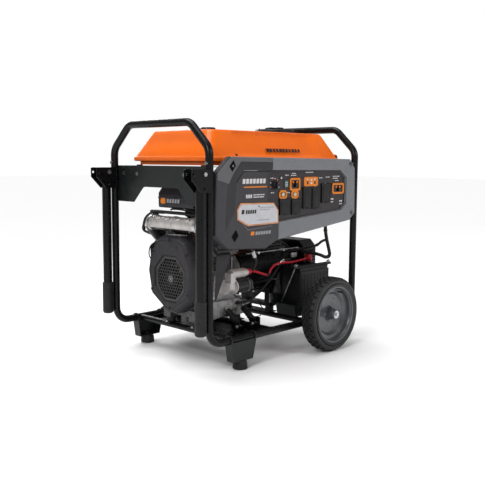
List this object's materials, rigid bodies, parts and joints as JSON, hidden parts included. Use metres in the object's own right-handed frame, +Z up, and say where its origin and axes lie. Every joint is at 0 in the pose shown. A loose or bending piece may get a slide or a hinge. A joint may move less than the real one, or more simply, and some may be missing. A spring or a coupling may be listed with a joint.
{
  "type": "portable generator",
  "caption": "Open-frame portable generator: twin-cylinder engine and alternator under a flat fuel tank, side control panel, folding handles, two wheels and two rubber feet.",
  "frame": {"origin": "on the floor under the middle of the whole machine", "axes": "+X from the engine end to the wheel end, +Y away from the control panel side, +Z up"},
  "size_m": [1.0508, 0.836, 1],
  "materials": {
    "frame_black": "satin black powder coat, slight orange peel",
    "sheet_grey": "satin dark grey powder coat",
    "handle_black": "satin black powder coat",
    "rubber_black": "matt moulded rubber",
    "tyre_rubber": "matt tyre rubber with a soft sidewall sheen",
    "rim_grey": "silver grey painted steel",
    "zinc": "zinc plated steel",
    "tank_orange": "gloss orange paint",
    "black_plastic": "fine grained black plastic",
    "bezel_grey": "light grey moulded plastic",
    "cover_grey": "dark grey moulded plastic",
    "plate_grey": "mid grey painted plate",
    "white_plastic": "white moulded plastic",
    "cast_aluminium": "as-cast and machined aluminium",
    "bright_aluminium": "bright satin aluminium",
    "housing_grey": "mid grey moulded plastic",
    "muffler_steel": "heat-tinted aluminised steel",
    "steel_dark": "machined steel",
    "cable_red": "red cable sheath",
    "loom_black": "black corrugated conduit"
  },
  "bodies": {
    "chassis": {"front_hoop": "frame_black", "rear_hoop": "frame_black", "engine_cradle": "frame_black", "front_end_panel": "sheet_grey", "rear_end_panel": "sheet_grey", "handle_bracket_left": "frame_black", "handle_bracket_right": "frame_black", "pivot_bolts": "zinc", "foot_brackets": "sheet_grey", "rubber_feet": "rubber_black", "axle": "zinc", "axle_brackets": "frame_black", "fuel_tank": "tank_orange", "filler_neck": "black_plastic", "fuel_gauge": "black_plastic", "panel_fasteners": "zinc", "control_bezel": "bezel_grey", "lower_cover": "cover_grey", "outlet_plate": "plate_grey", "control_box": "sheet_grey", "receptacles": "black_plastic", "engine_block": "cast_aluminium", "cylinder_heads": "cast_aluminium", "blower_housing": "housing_grey", "fan_grille": "housing_grey", "side_shrouds": "housing_grey", "air_cleaner": "housing_grey", "intake_manifold": "bright_aluminium", "muffler": "muffler_steel", "starter_motor": "cast_aluminium", "shaft_bearings": "steel_dark", "alternator_housing": "frame_black", "rubber_mounts": "rubber_black", "battery": "black_plastic", "battery_tray": "sheet_grey", "red_battery_cable": "cable_red", "wiring_loom": "loom_black"},
    "handle_left": {"handle_left": "handle_black", "handle_grip_left": "rubber_black"},
    "handle_right": {"handle_right": "handle_black", "handle_grip_right": "rubber_black"},
    "snap_button_left": {"snap_button_left": "zinc"},
    "snap_button_right": {"snap_button_right": "zinc"},
    "wheel_left": {"tire_left": "tyre_rubber", "rim_left": "rim_grey"},
    "wheel_right": {"tire_right": "tyre_rubber", "rim_right": "rim_grey"},
    "fuel_cap": {"fuel_cap": "black_plastic"},
    "crankshaft": {"flywheel_fan": "steel_dark", "rotor_shaft": "steel_dark"},
    "start_switch": {"start_switch_knob": "white_plastic"},
    "breaker_button_1": {"breaker_button_1": "white_plastic"},
    "breaker_button_2": {"breaker_button_2": "white_plastic"},
    "breaker_toggle_1": {"breaker_toggle_1": "black_plastic"},
    "breaker_toggle_2": {"breaker_toggle_2": "black_plastic"},
    "outlet_cover_1": {"outlet_cover_1": "black_plastic"},
    "outlet_cover_2": {"outlet_cover_2": "black_plastic"},
    "outlet_cover_3": {"outlet_cover_3": "black_plastic"},
    "outlet_cover_4": {"outlet_cover_4": "black_plastic"},
    "outlet_cover_5": {"outlet_cover_5": "black_plastic"}
  },
  "joints": [
    {"name": "handle_left_fold", "type": "hinge", "parent": "chassis", "child": "handle_left", "pos_m": [-0.46194, -0.301, 0.7855], "axis": [0, 1, 0], "range_deg": [0, 90]},
    {"name": "snap_button_left_slide", "type": "slide", "parent": "handle_left", "child": "snap_button_left", "axis": [0, 1, 0], "range_m": [0, 0.004]},
    {"name": "wheel_left_spin", "type": "hinge", "parent": "chassis", "child": "wheel_left", "pos_m": [0.24656, -0.3755, 0.1645], "axis": [0, 1, 0], "continuous": true},
    {"name": "handle_right_fold", "type": "hinge", "parent": "chassis", "child": "handle_right", "pos_m": [-0.46194, 0.301, 0.7855], "axis": [0, 1, 0], "range_deg": [0, 90]},
    {"name": "snap_button_right_slide", "type": "slide", "parent": "handle_right", "child": "snap_button_right", "axis": [0, -1, 0], "range_m": [0, 0.004]},
    {"name": "wheel_right_spin", "type": "hinge", "parent": "chassis", "child": "wheel_right", "pos_m": [0.24656, 0.3755, 0.1645], "axis": [0, 1, 0], "continuous": true},
    {"name": "fuel_cap_turn", "type": "hinge", "parent": "chassis", "child": "fuel_cap", "pos_m": [0.28256, 0, 0.976], "axis": [0, 0, 1], "range_deg": [0, 90]},
    {"name": "crankshaft_spin", "type": "hinge", "parent": "chassis", "child": "crankshaft", "pos_m": [-0.19744, 0, 0.344], "axis": [1, 0, 0], "continuous": true},
    {"name": "start_switch_turn", "type": "hinge", "parent": "chassis", "child": "start_switch", "pos_m": [-0.05644, -0.309, 0.738], "axis": [0, 1, 0], "range_deg": [-45, 45]},
    {"name": "breaker_button_1_push", "type": "slide", "parent": "chassis", "child": "breaker_button_1", "axis": [0, 1, 0], "range_m": [0, 0.003], "stiffness_N_per_m": 300},
    {"name": "breaker_button_2_push", "type": "slide", "parent": "chassis", "child": "breaker_button_2", "axis": [0, 1, 0], "range_m": [0, 0.003], "stiffness_N_per_m": 300},
    {"name": "breaker_toggle_1_tilt", "type": "hinge", "parent": "chassis", "child": "breaker_toggle_1", "pos_m": [0.06856, -0.305, 0.74], "axis": [1, 0, 0], "range_deg": [-20, 20]},
    {"name": "breaker_toggle_2_tilt", "type": "hinge", "parent": "chassis", "child": "breaker_toggle_2", "pos_m": [0.37056, -0.305, 0.714], "axis": [1, 0, 0], "range_deg": [-20, 20]},
    {"name": "outlet_cover_1_lift", "type": "hinge", "parent": "chassis", "child": "outlet_cover_1", "pos_m": [0.00306, -0.314, 0.677], "axis": [-1, 0, 0], "range_deg": [0, 105]},
    {"name": "outlet_cover_2_lift", "type": "hinge", "parent": "chassis", "child": "outlet_cover_2", "pos_m": [0.07556, -0.314, 0.674], "axis": [-1, 0, 0], "range_deg": [0, 105]},
    {"name": "outlet_cover_3_lift", "type": "hinge", "parent": "chassis", "child": "outlet_cover_3", "pos_m": [0.14856, -0.314, 0.723], "axis": [-1, 0, 0], "range_deg": [0, 105]},
    {"name": "outlet_cover_4_lift", "type": "hinge", "parent": "chassis", "child": "outlet_cover_4", "pos_m": [0.20906, -0.314, 0.722], "axis": [-1, 0, 0], "range_deg": [0, 105]},
    {"name": "outlet_cover_5_lift", "type": "hinge", "parent": "chassis", "child": "outlet_cover_5", "pos_m": [0.28156, -0.314, 0.736], "axis": [-1, 0, 0], "range_deg": [0, 105]}
  ]
}
